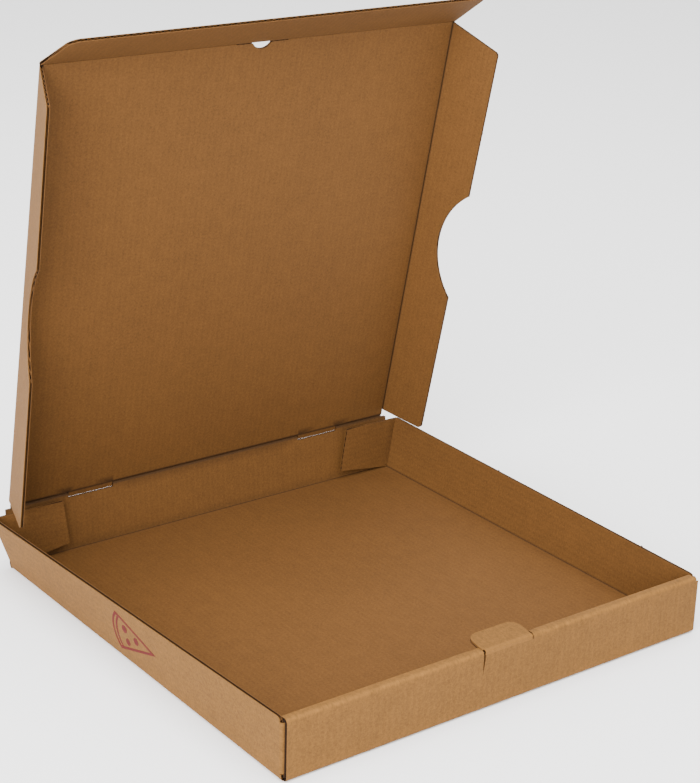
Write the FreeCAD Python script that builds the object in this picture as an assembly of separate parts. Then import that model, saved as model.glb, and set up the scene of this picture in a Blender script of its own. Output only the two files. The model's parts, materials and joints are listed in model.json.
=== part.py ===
import FreeCAD, Part
import math
import os
from FreeCAD import Vector

os.makedirs("parts", exist_ok=True)

# Pizza box folded from one die-cut sheet of fluted board, standing open.
# Origin at the centre of the tray's underside, +Z up. The front wall with the lock tab is at -Y,
# the hinge of the lid at +Y, the left side wall at -X. Lengths in millimetres, angles in degrees.

# Board and tray
INNER = 240.0          # clear width and depth of the tray at the floor
BOARD = 1.6            # thickness of the fluted board
WALL_TOP = 30.0        # height of the side walls and of the front fold
BEND_IN = 0.4          # inside radius of a pressed fold
FOLD_GAP = 0.3         # play between two boards that lie on each other
CAVITY = 2.5           # hollow in the rolled-over front wall
LEFT_LEAN = 9.0        # how far the left wall's top leans out at its rear end
RIGHT_LEAN = 6.9       # the same for the right wall
REAR_LEAN = 5.83       # angle by which the rear wall leans back
EAR_LEN = 33.0         # length of the corner flaps inside the front wall
SWING = 5.0            # angle between a rear corner flap and the rear wall

# Lid
PIVOT_Z = 32.2         # height of the lid's hinge line
LID_LEN = 239.4        # hinge line to front fold
LID_HALF = 118.2       # half of the lid's width between its side folds, on the inside
LID_LEAN = 11.8        # angle by which the open lid leans forward from upright
SIDE_FLAP = 29.5       # width of the side flaps
FRONT_FLAP = 27.0      # width of the front flap
RIGHT_FOLD = 77.0      # fold angle of the right flap as it stands, 0 is flat
LEFT_FOLD = 73.0       # fold angle of the left flap
FRONT_FOLD = 43.0      # fold angle of the front flap
RIGHT_FREE = 12.0      # angle by which the right flap can still open as the lid swings back
LEFT_FREE = 14.0       # the same for the left flap
FRONT_FREE = 33.0      # the same for the front flap
REAR_SHORT = 1.2       # how far the side flaps end in front of the side walls' rear ends
HINGE_PLAY = 0.3       # gap between the lid's rounded root and the rear wall
CREASE_PLAY = 0.1      # gap between a flap's root and the lid's edge

# Cut-outs
NOTCH_MID = 121.2      # middle of the hand notch, from the hinge line
NOTCH_HALF = 30.3      # half its length
NOTCH_DEEP = 13.8      # its depth
SLOT_HALF = 15.15      # half length of the slot in the lid's front fold
SLOT_WIDE = 0.5        # its width
MOON_HALF = 5.5        # half width of the half-moon hole
MOON_DEEP = 3.6        # its depth
TONGUE_IN = 59.2       # hinge notch in the rear wall, from its middle
TONGUE_OUT = 85.8
TONGUE_DEEP = 2.1      # how far the lid's tongues reach below the hinge line

# Lock tab
TAB_HALF = 14.3        # half width
TAB_LEN = 14.0         # fold to tip
TAB_TIP = 5.5          # radius of its corners
TAB_RISE = 9.0         # angle above level, as it stands
TAB_GAP = 0.4          # width of the cut round it
TAB_PLAY = 0.6         # gap under its rounded root
SLIT_DEEP = 10.5       # length of the slit that runs down the outer wall
SLIT_WIDE = 0.9        # its width at the top


BEND_OUT = BEND_IN + BOARD
HALF = INNER / 2
BEND_C = HALF - BEND_IN            # centre line of the floor's folds, from the middle
OUTER = HALF + BOARD               # outer half width
# The rear wall's inner face stands at +HALF_D, the front wall's outer panel's at -HALF_D.
HALF_D = HALF + (CAVITY + BOARD) / 2
BEND_D = HALF_D - BEND_IN
OUTER_D = HALF_D + BOARD


def rad(a):
    return math.radians(a)


def wire(place, start, steps):
    """Closed wire; a step is a point, or a pair of points for an arc through the first."""
    edges = []
    here = place(*start)
    for s in list(steps) + [start]:
        if isinstance(s[0], tuple):
            mid = place(*s[0])
            end = place(*s[1])
            edges.append(Part.Arc(here, mid, end).toShape())
        else:
            end = place(*s)
            if end.distanceToPoint(here) < 1e-7:
                continue
            edges.append(Part.makeLine(here, end))
        here = end
    return Part.Wire(edges)


def plate(place, start, steps, along):
    return Part.Face(wire(place, start, steps)).extrude(along)


def box(x0, x1, y0, y1, z0, z1):
    return Part.makeBox(x1 - x0, y1 - y0, z1 - z0, Vector(x0, y0, z0))


def polar(c, r, a):
    return (c[0] + r * math.cos(rad(a)), c[1] + r * math.sin(rad(a)))


def joined(shapes):
    s = shapes[0].fuse(shapes[1:])
    s = s.removeSplitter()
    if len(s.Solids) == 1:
        return s.Solids[0]
    return s


# Floor and side walls: one section across the box at the front and one at the rear.
# The walls stand upright at the front and lean out towards the rear.

REAR_Y = HALF_D + 0.9              # rear end of the side walls at their top
BACK_SLOPE = math.tan(rad(REAR_LEAN))
REAR_FOOT = REAR_Y - BACK_SLOPE * WALL_TOP


def lean_at(y):
    return (y + BEND_D) / (REAR_Y + BEND_D)


def side_angle(lean, y):
    return math.degrees(math.atan(lean * lean_at(y) / (WALL_TOP - BEND_OUT)))


def channel(y):
    def place(a, b):
        return Vector(a, y, b)
    lr = side_angle(RIGHT_LEAN, y)
    ll = side_angle(LEFT_LEAN, y)
    c = (BEND_C, BEND_OUT)

    def top(r, lam):
        n = polar(c, r, -lam)
        return (n[0] + (WALL_TOP - n[1]) * math.tan(rad(lam)), WALL_TOP)

    def arc(r, lam, sign, out):
        a = polar(c, r, -90)
        b = polar(c, r, -lam)
        m = polar(c, r, (-90 - lam) / 2)
        pts = [(sign * p[0], p[1]) for p in (a, m, b)]
        if out:
            return pts[0], (pts[1], pts[2])
        return pts[2], (pts[1], pts[0])

    def flip(p):
        return (-p[0], p[1])

    s0, a0 = arc(BEND_OUT, lr, 1, True)
    s1, a1 = arc(BEND_IN, lr, 1, False)
    s2, a2 = arc(BEND_IN, ll, -1, True)
    s3, a3 = arc(BEND_OUT, ll, -1, False)
    steps = [a0, top(BEND_OUT, lr), top(BEND_IN, lr), s1, a1]
    steps += [s2, a2, flip(top(BEND_IN, ll)), flip(top(BEND_OUT, ll)), s3, a3]
    return wire(place, s0, steps)


def inner_side(lean, y, z):
    """Distance of a side wall's inner face from the middle at a depth and height."""
    lam = side_angle(lean, y)
    n = polar((BEND_C, BEND_OUT), BEND_IN, -lam)
    return n[0] + (z - n[1]) * math.tan(rad(lam))


FRONT_END = -HALF_D + FOLD_GAP + BOARD     # front end of the side walls
LONG = REAR_Y + 3
walls = Part.makeLoft([channel(-BEND_D), channel(LONG)], True, True)
WIDE = 2 * INNER                   # well past the box, for the cuts
HIGH = 2 * WALL_TOP
walls = walls.cut(box(-WIDE, WIDE, -WIDE, FRONT_END, BEND_OUT, HIGH))
walls = walls.cut(box(-WIDE, WIDE, BEND_D, WIDE, -1, BEND_OUT))
slant = Part.Face(Part.makePolygon([
    Vector(-WIDE, REAR_FOOT + BACK_SLOPE * BEND_OUT, BEND_OUT),
    Vector(-WIDE, REAR_FOOT + BACK_SLOPE * HIGH, HIGH),
    Vector(-WIDE, WIDE, HIGH),
    Vector(-WIDE, WIDE, BEND_OUT),
    Vector(-WIDE, REAR_FOOT + BACK_SLOPE * BEND_OUT, BEND_OUT)])).extrude(Vector(2 * WIDE, 0, 0))
walls = walls.cut(slant)
# The side walls are cut lower where the rolled-over front fold passes above them.
STRIP_IN = -HALF_D + CAVITY + BOARD        # inner face of the front wall's inner panel
walls = walls.cut(box(-WIDE, WIDE, -WIDE, STRIP_IN + 0.3, WALL_TOP - BOARD - FOLD_GAP, HIGH))


# Front wall: outer panel, flat top and inner panel in one strip of board.

def front_place(a, b):
    return Vector(-OUTER, a, b)


FOLD_R = BEND_OUT
y_out = -OUTER_D
lower = (-BEND_D, BEND_OUT)
upper_c = (-OUTER_D + FOLD_R, WALL_TOP - FOLD_R)
inner_c = (STRIP_IN - FOLD_R, WALL_TOP - FOLD_R)
front_profile = [
    (polar(lower, BEND_OUT, 225), polar(lower, BEND_OUT, 180)),
    polar(upper_c, FOLD_R, 180),
    (polar(upper_c, FOLD_R, 135), polar(upper_c, FOLD_R, 90)),
    polar(inner_c, FOLD_R, 90),
    (polar(inner_c, FOLD_R, 45), polar(inner_c, FOLD_R, 0)),
    (STRIP_IN, BOARD + FOLD_GAP),
    (STRIP_IN - BOARD, BOARD + FOLD_GAP),
    polar(inner_c, BEND_IN, 0),
    (polar(inner_c, BEND_IN, 45), polar(inner_c, BEND_IN, 90)),
    polar(upper_c, BEND_IN, 90),
    (polar(upper_c, BEND_IN, 135), polar(upper_c, BEND_IN, 180)),
    polar(lower, BEND_IN, 180),
    (polar(lower, BEND_IN, 225), polar(lower, BEND_IN, 270)),
]
front = plate(front_place, polar(lower, BEND_OUT, 270), front_profile, Vector(2 * OUTER, 0, 0))
# Between the side walls the inner panel has play; below the panels the fold ends with the floor.
INNER_END = HALF - 0.6
for s in (-1, 1):
    a, b = sorted((s * INNER_END, s * (OUTER + 1)))
    front = front.cut(box(a, b, -HALF_D + 0.05, STRIP_IN + 0.05, -1, WALL_TOP - BOARD))
    a, b = sorted((s * (BEND_C + 0.8), s * (OUTER + 1)))
    front = front.cut(box(a, b, -OUTER_D - 1, -HALF_D + 1, -1, BEND_OUT))

# Cut round the lock tab, through the flat top and down into the inner panel.
TAB_PIVOT = (-OUTER_D + BOARD / 2, WALL_TOP - BOARD / 2)
cut_half = TAB_HALF + TAB_GAP
cut_low = WALL_TOP - (TAB_LEN - (STRIP_IN - TAB_PIVOT[0]) + BOARD / 2)
front = front.cut(box(-cut_half, cut_half, -OUTER_D - 1, STRIP_IN - BOARD - 0.05,
                      TAB_PIVOT[1] - BOARD / 2 - TAB_PLAY, WALL_TOP + 1))


def window_place(a, b):
    return Vector(a, STRIP_IN - BOARD - 0.1, b)


r = TAB_TIP
k = r * (1 - math.sqrt(0.5))
window = plate(window_place, (-cut_half, WALL_TOP + 1), [
    (-cut_half, cut_low + r),
    ((-cut_half + k, cut_low + k), (-cut_half + r, cut_low)),
    (cut_half - r, cut_low),
    ((cut_half - k, cut_low + k), (cut_half, cut_low + r)),
    (cut_half, WALL_TOP + 1)], Vector(0, BOARD + 0.5, 0))
front = front.cut(window)
# The slit at the tab's left root tapers down the outer wall; the right one is only started.
for x, deep in ((-TAB_HALF, SLIT_DEEP), (TAB_HALF, 2.5)):
    def slit_place(a, b):
        return Vector(a, -OUTER_D - 1, b)
    slit = plate(slit_place, (x - SLIT_WIDE / 2, WALL_TOP), [
        (x + SLIT_WIDE / 2, WALL_TOP), (x + 0.05, WALL_TOP - deep), (x - 0.05, WALL_TOP - deep)],
        Vector(0, BOARD + 1.4, 0))
    front = front.cut(slit)

# Rear wall, leaning back, with two notches for the lid's tongues.
rear_c = (BEND_D, BEND_OUT)
n_rear = (math.cos(rad(REAR_LEAN)), -math.sin(rad(REAR_LEAN)))
d_rear = (math.sin(rad(REAR_LEAN)), math.cos(rad(REAR_LEAN)))
mid_r = (BEND_IN + BEND_OUT) / 2
rise = (PIVOT_Z - BEND_OUT - mid_r * n_rear[1]) / d_rear[1]
PIVOT_Y = BEND_D + mid_r * n_rear[0] + rise * d_rear[0]
wall_rise = rise - BOARD / 2 - HINGE_PLAY


def rear_point(r, h):
    return (rear_c[0] + r * n_rear[0] + h * d_rear[0], rear_c[1] + r * n_rear[1] + h * d_rear[1])


rear = plate(lambda a, b: Vector(-OUTER + 0.4, a, b), polar(rear_c, BEND_OUT, 270), [
    (polar(rear_c, BEND_OUT, 315 - REAR_LEAN / 2), polar(rear_c, BEND_OUT, -REAR_LEAN)),
    rear_point(BEND_OUT, wall_rise),
    rear_point(BEND_IN, wall_rise),
    polar(rear_c, BEND_IN, -REAR_LEAN),
    (polar(rear_c, BEND_IN, 315 - REAR_LEAN / 2), polar(rear_c, BEND_IN, 270))],
    Vector(2 * OUTER - 0.8, 0, 0))
for s in (-1, 1):
    a, b = sorted((s * TONGUE_IN, s * TONGUE_OUT))
    notch = plate(lambda p, q: Vector(a, p, q), rear_point(-2, rise - TONGUE_DEEP - 0.6), [
        rear_point(4, rise - TONGUE_DEEP - 0.6), rear_point(4, rise + 3), rear_point(-2, rise + 3)],
        Vector(b - a, 0, 0))
    rear = rear.cut(notch)
    a, b = sorted((s * (BEND_C + 0.8), s * (OUTER + 1)))
    rear = rear.cut(box(a, b, HALF_D - 1, OUTER_D + 1, -1, BEND_OUT))


# Corner flaps behind the front wall's outer panel, folded in from the side walls.

def front_corner(s):
    c = (s * HALF, FRONT_END)
    top = WALL_TOP - BOARD - FOLD_GAP - 0.2
    foot = BEND_OUT + 0.2

    def place(a, b):
        return Vector(a, b, foot)
    q = BOARD * math.sqrt(0.5)
    return plate(place, (c[0] + s * 0.3 * BOARD, c[1] + 0.8), [
        (c[0] + s * 0.8 * BOARD, c[1] + 0.8),
        (c[0] + s * 0.8 * BOARD, c[1]),
        (c[0] + s * BOARD, c[1]),
        ((c[0] + s * q, c[1] - q), (c[0], c[1] - BOARD)),
        (c[0] - s * EAR_LEN, c[1] - BOARD),
        (c[0] - s * EAR_LEN, c[1]),
        (c[0] + s * 0.3 * BOARD, c[1])], Vector(0, 0, top - foot))


# Corner flaps in front of the rear wall. Their free edges stand a little off it.

def rear_corner(s, lean, outline):
    def section(z):
        y = REAR_FOOT + BACK_SLOPE * z
        x = inner_side(lean, y, z)
        lam = side_angle(lean, y)
        w = BOARD / math.cos(rad(lam))
        sn = math.sin(rad(SWING))
        cs = math.cos(rad(SWING))
        mid = (x + 0.72 * w, y + 0.70 * BOARD)

        def place(a, b):
            return Vector(s * a, b, z)
        end = (x + BOARD * sn, y + BOARD * cs)
        return wire(place, (x + 0.3 * w, y - 0.8), [
            (x + 0.8 * w, y - 0.8),
            (x + 0.8 * w, y),
            (x + w, y),
            (mid, end),
            (end[0] - EAR_LEN * 1.2 * cs, end[1] - EAR_LEN * 1.2 * sn),
            (x - EAR_LEN * 1.2 * cs, y - EAR_LEN * 1.2 * sn),
            (x, y),
            (x + 0.3 * w, y)])
    body = Part.makeLoft([section(BEND_OUT - 0.3), section(WALL_TOP + 1.5)], True, True)
    pts = [Vector(s * a, 90, b) for a, b in outline]
    prism = Part.Face(Part.makePolygon(pts + [pts[0]])).extrude(Vector(0, 60, 0))
    return body.common(prism)


right_ear = [(84.8, 7.6), (90.2, 30.9), (117.8, 29.6), (123.6, 26.6), (135, 26.6), (135, 1.9), (119, 1.9)]
left_ear = [(84.8, 7.6), (89.4, 30.9), (117.8, 29.6), (125.0, 26.6), (135, 26.6), (135, 1.9), (119, 1.9)]

tray = joined([walls, front, rear, front_corner(-1), front_corner(1),
               rear_corner(1, RIGHT_LEAN, right_ear), rear_corner(-1, LEFT_LEAN, left_ear)])


# The lid's parts are drawn in the lid's own plane: x across, s from the hinge line towards the
# front fold, n towards the inside, n = 0 at mid-thickness.

SIN_L = math.sin(rad(LID_LEAN))
COS_L = math.cos(rad(LID_LEAN))
FACE = BOARD / 2


def lid_point(x, s, n):
    return Vector(x, PIVOT_Y - s * SIN_L - n * COS_L, PIVOT_Z + s * COS_L - n * SIN_L)


def lid_way(x, s, n):
    return lid_point(x, s, n) - lid_point(0, 0, 0)


def lid_box(x0, x1, s0, s1, n0, n1):
    return plate(lambda a, b: lid_point(a, b, n0), (x0, s0), [(x1, s0), (x1, s1), (x0, s1)],
                 lid_way(0, 0, n1 - n0))


panel = lid_box(-LID_HALF, LID_HALF, 0, LID_LEN, -FACE, FACE)
root = Part.makeCylinder(FACE, 2 * LID_HALF, lid_point(-LID_HALF, 0, 0), Vector(1, 0, 0))
pieces = [panel, root]
for s in (-1, 1):
    a, b = sorted((s * (TONGUE_IN + 0.4), s * (TONGUE_OUT - 0.4)))
    pieces.append(lid_box(a, b, -TONGUE_DEEP, 1, -FACE, FACE))


def bead(angle):
    """Sector of a fold's outer skin from the panel's end face, around the inner crease."""
    return [(0, -BOARD), (polar((0, 0), BOARD, -90 + angle / 2), polar((0, 0), BOARD, -90 + angle))]


RIGHT_BEAD = RIGHT_FOLD - RIGHT_FREE
LEFT_BEAD = LEFT_FOLD - LEFT_FREE
FRONT_BEAD = FRONT_FOLD - FRONT_FREE
pieces.append(plate(lambda a, b: lid_point(LID_HALF + a, BOARD, FACE + b), (0, 0), bead(RIGHT_BEAD),
                    lid_way(0, LID_LEN - 2 * BOARD, 0)))
pieces.append(plate(lambda a, b: lid_point(-LID_HALF - a, BOARD, FACE + b), (0, 0), bead(LEFT_BEAD),
                    lid_way(0, LID_LEN - 2 * BOARD, 0)))
pieces.append(plate(lambda a, b: lid_point(-LID_HALF, LID_LEN + a, FACE + b), (0, 0), bead(FRONT_BEAD),
                    lid_way(2 * LID_HALF, 0, 0)))
lid = joined(pieces)
slot = lid_box(-SLOT_HALF, SLOT_HALF, LID_LEN - SLOT_WIDE, LID_LEN + 4, -5, 5)
moon = plate(lambda a, b: lid_point(a, b, -5), (-MOON_HALF, LID_LEN + 4), [
    (-MOON_HALF, LID_LEN),
    ((0, LID_LEN - MOON_DEEP), (MOON_HALF, LID_LEN)),
    (MOON_HALF, LID_LEN + 4)], lid_way(0, 0, 10))
lid = lid.cut(slot).cut(moon)
lid = lid.Solids[0] if len(lid.Solids) == 1 else lid


# Side flap: v runs across the flap from its fold. The hand notch is an arc between rounded corners,
# the front end is cut back, the rear end follows the corner flap that it passes when the lid shuts.

REAR_CUT = PIVOT_Y - REAR_Y + REAR_SHORT
FRONT_CUT = 0.237


def side_flap(sign, fold):
    cf = math.cos(rad(fold))
    sf = math.sin(rad(fold))

    def place(s, v):
        h = 0.0
        return lid_point(sign * (LID_HALF + v * cf + h * sf), s, FACE + v * sf - h * cf)
    out = lid_way(sign * BOARD * sf, 0, -BOARD * cf)
    w = SIDE_FLAP
    g = CREASE_PLAY
    end = LID_LEN - 0.6
    rear_hi = REAR_CUT + w * BACK_SLOPE
    front_hi = end - w * FRONT_CUT
    a0 = NOTCH_MID - NOTCH_HALF
    a1 = NOTCH_MID + NOTCH_HALF
    return plate(place, (REAR_CUT, g), [
        (rear_hi - 2 * BACK_SLOPE, w - 2),
        ((rear_hi + 0.5, w - 0.6), (rear_hi + 2, w)),
        (a0, w),
        ((NOTCH_MID, w - NOTCH_DEEP), (a1, w)),
        (front_hi - 1.5, w),
        ((front_hi - 0.25, w - 0.5), (front_hi + 1.5 * FRONT_CUT, w - 1.5)),
        (end, g)], out)


right_flap = side_flap(1, RIGHT_FOLD)
left_flap = side_flap(-1, LEFT_FOLD)


# Front flap with rounded corners.

def front_flap_shape():
    cf = math.cos(rad(FRONT_FOLD))
    sf = math.sin(rad(FRONT_FOLD))

    def place(x, v):
        return lid_point(x, LID_LEN + v * cf, FACE + v * sf)
    out = lid_way(0, BOARD * sf, -BOARD * cf)
    w = FRONT_FLAP
    e = LID_HALF + 1.2
    r = 6.5
    k = r * (1 - math.sqrt(0.5))
    f = e - 0.8
    return plate(place, (-LID_HALF, CREASE_PLAY), [
        (-e, 2.0),
        (-f, w - r),
        ((-f + k, w - k), (-f + r, w)),
        (f - r, w),
        ((f - k, w - k), (f, w - r)),
        (e, 2.0),
        (LID_HALF, CREASE_PLAY)], out)


front_flap = front_flap_shape()


# Lock tab, on its crease at the top of the front wall's outer panel.

ct = math.cos(rad(TAB_RISE))
st = math.sin(rad(TAB_RISE))


def tab_place(x, v):
    h = -BOARD / 2
    return Vector(x, TAB_PIVOT[0] + v * ct - h * st, TAB_PIVOT[1] + v * st + h * ct)


r = TAB_TIP
k = r * (1 - math.sqrt(0.5))
half = TAB_HALF
tab = plate(tab_place, (-half, 0), [
    (half, 0),
    (half, TAB_LEN - r),
    ((half - k, TAB_LEN - k), (half - r, TAB_LEN)),
    (-half + r, TAB_LEN),
    ((-half + k, TAB_LEN - k), (-half, TAB_LEN - r))],
    Vector(0, -BOARD * st, BOARD * ct))
tab_root = Part.makeCylinder(BOARD / 2, 2 * half, Vector(-half, TAB_PIVOT[0], TAB_PIVOT[1]), Vector(1, 0, 0))
tab = joined([tab, tab_root])

for name, shape in (("tray", tray), ("lid_panel", lid), ("lid_front_flap", front_flap),
                    ("lid_left_flap", left_flap), ("lid_right_flap", right_flap), ("lock_tab", tab)):
    shape.exportStep("parts/" + name + ".step")
    print(name, len(shape.Solids), shape.isValid(), round(shape.Volume, 1))
print("pivot", round(PIVOT_Y, 4), PIVOT_Z)
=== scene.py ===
import json
import math

import bpy
import bmesh
from mathutils import Matrix, Vector
from mathutils.geometry import delaunay_2d_cdt


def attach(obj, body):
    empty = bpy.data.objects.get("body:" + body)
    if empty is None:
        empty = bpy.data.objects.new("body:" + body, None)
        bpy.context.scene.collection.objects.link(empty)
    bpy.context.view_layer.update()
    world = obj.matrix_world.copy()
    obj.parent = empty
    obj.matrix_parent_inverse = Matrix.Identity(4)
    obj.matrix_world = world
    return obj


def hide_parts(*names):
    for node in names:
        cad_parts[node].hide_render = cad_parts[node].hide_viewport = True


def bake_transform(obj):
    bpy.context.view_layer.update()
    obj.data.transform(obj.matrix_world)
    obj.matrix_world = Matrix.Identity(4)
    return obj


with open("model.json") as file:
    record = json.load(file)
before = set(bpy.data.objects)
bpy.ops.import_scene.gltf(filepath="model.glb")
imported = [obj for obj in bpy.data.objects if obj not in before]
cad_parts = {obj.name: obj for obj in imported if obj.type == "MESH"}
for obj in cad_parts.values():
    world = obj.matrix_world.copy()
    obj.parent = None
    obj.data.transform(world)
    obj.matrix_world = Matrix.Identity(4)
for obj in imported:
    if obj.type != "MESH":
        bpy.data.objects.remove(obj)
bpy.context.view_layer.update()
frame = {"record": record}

# Pizza box of fluted kraft board. Every panel is built as the board is: an outside liner, an inside
# liner and a waved core between them, cut on one outline that follows the solid's. Lengths are in
# millimetres here and become metres when a mesh is made. A panel's own coordinates are c, across
# the flutes, f, along them, and h, the depth from the inside face to the outside face.

MM = 0.001

# Board
BOARD = 1.6
LINER = 0.27            # thickness of a liner
PAPER = 0.16            # thickness of the waved paper
PITCH = 3.27            # one wave
WAVE_STEPS = 8
RECESS = 0.14           # how far the core stays behind the cut edge
HAIR = 0.02             # air between the core and a liner
SHORTEST = 0.3          # shorter stretches of core are left out
CORE_CLEAR = 0.3        # distance of the core from a sharp turn of the board
CORE_PAST_FOLD = 0.4    # from a flap's fold
CORE_PAST_BEND = 0.5    # from a rounded fold at the floor
BEND_RUN = 1.2          # length given to a fold in a panel's own coordinates
BEND_IN = 0.4           # radius inside a rounded fold
BEND_OUT = BEND_IN + BOARD
LEAST_R = 0.05          # radius inside a corner flap's fold

# Widths of the painted lines along the creases: painted shade in the valley inside, paler outside from
# rubbing and a painted highlight
FOOT_MARK = 0.55
STRIP_MARK = 0.45
EDGE_MARK = 0.6
HINGE_MARK = 1.2
TAB_MARK = 1.0

# Meshes
BESIDE = (-4, -1.1, -0.5, 0, 0.5, 1.1, 4)     # extra grid lines beside a crease
LINE_GAP = 0.1          # least distance between the lines of a grid
POINT_GAP = 0.02        # between a point of an outline and one added on a grid line
EDGE_GAP = 0.05         # between a point of the grid and an outline
ON_RIM = 0.01           # an edge nearer to the rim than this lies on it
NUDGE = 1e-5            # keeps the core's strips off the outlines' own points
SHARP = 50              # degrees from which an edge is drawn sharp

# Tray
HALF = 120.0            # half of the width inside, at the floor
BEND_C = HALF - BEND_IN
OUTER = HALF + BOARD
HALF_D = 122.05         # half of the depth inside
BEND_D = HALF_D - BEND_IN
OUTER_D = HALF_D + BOARD
WALL_TOP = 30.0
FOLD_GAP = 0.3          # play between boards that lie on each other
LEFT_LEAN = 9.0         # how far a side wall's top leans out at its rear end
RIGHT_LEAN = 6.9
LEAN_RISE = 0.1         # what the lean adds to c at a height on a side wall, roughly
REAR_PAST = 0.9
REAR_Y = HALF_D + REAR_PAST                   # rear end of a side wall, at its top
REAR_LEAN = 5.83        # degrees
REAR_IN = 0.4           # how far the rear wall's ends stand back from the box's sides
SWING = 5.0             # degrees of a rear corner flap off the rear wall
EAR_LEN = 33.0          # a front corner flap's length
EAR_REACH = 60.0        # further than a rear corner flap goes
EAR_GAP = 0.2           # between a corner flap's end and the boards beside it
FRONT_END = -HALF_D + FOLD_GAP + BOARD        # front end of a side wall
STRIP_IN = -117.95      # inner edge of the front wall's flat top
STRIP_END = 119.4       # right end of the front wall's flat top and inner panel
RIGHT_STEP = OUTER - 1.1                      # right end of the fold on top of the outer panel
FRONT_LEFT = -120.2     # left end of the front wall, back from the left wall's face
FRONT_RECESS = 1.2      # how far the front wall's core stays behind both ends
LOW_TOP = WALL_TOP - BOARD - FOLD_GAP         # underside of the flat top, less the play

# Lid
PIVOT = Vector(next(j["pos_m"] for j in frame["record"]["behaviour"]["joints"]
                    if j["name"] == "lid_hinge")) / MM
LID_LEN = 239.4
LID_HALF = 118.2
LID_LEAN = 11.8         # degrees past upright
SIDE_FLAP = 29.5
FRONT_FLAP = 27.0
FOLD_REAR = {"right": 81.0, "left": 73.5}      # degrees of the twisted side flaps' folds at the hinge
FOLD_FRONT = {"right": 73.0, "left": 69.0}    # and at the lid's front
SPLIT = 0.08            # where a moving fold parts the inside liners
FRONT_FOLD = 46.8       # degrees at the middle of the front flap
FRONT_TWIST = 1.5       # more at its left end and less at its right one
FRONT_OVER = 1.2        # how far the front flap reaches past the lid on each side
FRONT_START = 0.12      # where its ends begin, from its fold
REAR_SHORT = 1.2        # from a side flap's rear end to the side wall's, with the lid shut
FLAP_SHORT = 0.6        # how far a side flap's front end stays back from the lid's
NOTCH_MID = 121.2
NOTCH_HALF = 30.3
NOTCH_DEEP = 13.8
SLOT_HALF = 15.15
SLOT_WIDE = 0.5
MOON_HALF = 5.5
MOON_DEEP = 3.6
TONGUE_IN = 59.2
TONGUE_OUT = 85.8
TONGUE_DEEP = 2.1
TONGUE_PLAY = 0.4
NOTCH_PLAY = 0.54       # air under a tongue, seen as a light line
ROOT_LOW = 1.1          # from the hinge line down to the rear wall's edge
ROOT_HIGH = 0.9         # from the hinge line up to the lid's flat part

# Lock tab
TAB_HALF = 14.3
TAB_LEN = 12.8
TAB_MID = 0.6           # the tab sits a little right of the middle
TAB_SEAM = 0.1          # cut beside the tab where it crosses the strip
TAB_TIP = 5.5
TAB_RISE = 8.6          # degrees above level
TAB_GAP = 0.4           # beside the tab, in the wall it was cut from
TAB_PLAY = 0.6          # under it
TAB_Y = -OUTER_D + BOARD / 2
TAB_Z = WALL_TOP - BOARD / 2
SLIT_DEEP = 11.3
SLIT_WIDE = 1.1
SLIT_SLANT = 0.1        # how far the slit's tip lies to the left of its left side
SLIT_NECK = 1.0         # where its left side starts to slant, below the cut's foot
SLIT_FLARE = 1.5        # and its right side
CUT_WIDER = 0.5         # how much further right the cut goes on the flat top

# The third kind is a dark kraft painted as shade, on the liners' faces towards the core, the edges of holes
# and the pressed core in a fold
OUTSIDE, INSIDE, SHADE_PAPER, INK, CORE = 0, 1, 2, 3, 4
PALE = -0.35            # painted highlight and rubbing along an outside fold, as a negative crease value; above 0 is painted shade in a valley


def sin(a):
    return math.sin(math.radians(a))


def cos(a):
    return math.cos(math.radians(a))


def steps(lo, hi, n):
    return [lo + (hi - lo) * i / n for i in range(n + 1)]


def arc(centre, r, a0, a1, n=8):
    """Points on an arc, both ends included."""
    return [(centre[0] + r * cos(a), centre[1] + r * sin(a)) for a in steps(a0, a1, n)]


def three_point_arc(a, m, b, n=14):
    """Points of the arc from a to b through m, both ends included."""
    ax, ay = a
    bx, by = m
    cx, cy = b
    a2 = ax * ax + ay * ay
    b2 = bx * bx + by * by
    c2 = cx * cx + cy * cy
    d = 2 * (ax * (by - cy) + bx * (cy - ay) + cx * (ay - by))
    x = (a2 * (by - cy) + b2 * (cy - ay) + c2 * (ay - by)) / d
    y = (a2 * (cx - bx) + b2 * (ax - cx) + c2 * (bx - ax)) / d
    r = math.hypot(ax - x, ay - y)
    t0 = math.degrees(math.atan2(ay - y, ax - x))
    tm = math.degrees(math.atan2(by - y, bx - x))
    t1 = math.degrees(math.atan2(cy - y, cx - x))
    while tm < t0:
        tm += 360
    while t1 < t0:
        t1 += 360
    if tm > t1:
        t1 -= 360
    return arc((x, y), r, t0, t1, n)


def inside(loops, c, f):
    """Whether a point lies inside the loops. A loop in another one is a hole."""
    odd = False
    for loop in loops:
        for (c0, f0), (c1, f1) in zip(loop, loop[1:] + loop[:1]):
            if (c0 > c) != (c1 > c) and f < f0 + (f1 - f0) * (c - c0) / (c1 - c0):
                odd = not odd
    return odd


def with_crossings(loop, cs, fs):
    """The loop with a point added wherever it crosses a line of the grid."""
    out = []
    for p, q in zip(loop, loop[1:] + loop[:1]):
        out.append(p)
        ts = []
        for k, stops in ((0, cs), (1, fs)):
            d = q[k] - p[k]
            if abs(d) > 1e-6:
                ts += [(v - p[k]) / d for v in stops]
        last = 0.0
        for t in sorted(t for t in ts if 1e-4 < t < 1 - 1e-4):
            if (t - last) * math.dist(p, q) > POINT_GAP and (1 - t) * math.dist(p, q) > POINT_GAP:
                out.append((p[0] + t * (q[0] - p[0]), p[1] + t * (q[1] - p[1])))
                last = t
    return out


def edge_distance(loops, c, f):
    best = 1e9
    for loop in loops:
        for (c0, f0), (c1, f1) in zip(loop, loop[1:] + loop[:1]):
            dc, df = c1 - c0, f1 - f0
            n = dc * dc + df * df
            t = 0 if n == 0 else max(0, min(1, ((c - c0) * dc + (f - f0) * df) / n))
            best = min(best, math.hypot(c - c0 - t * dc, f - f0 - t * df))
    return best


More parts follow.
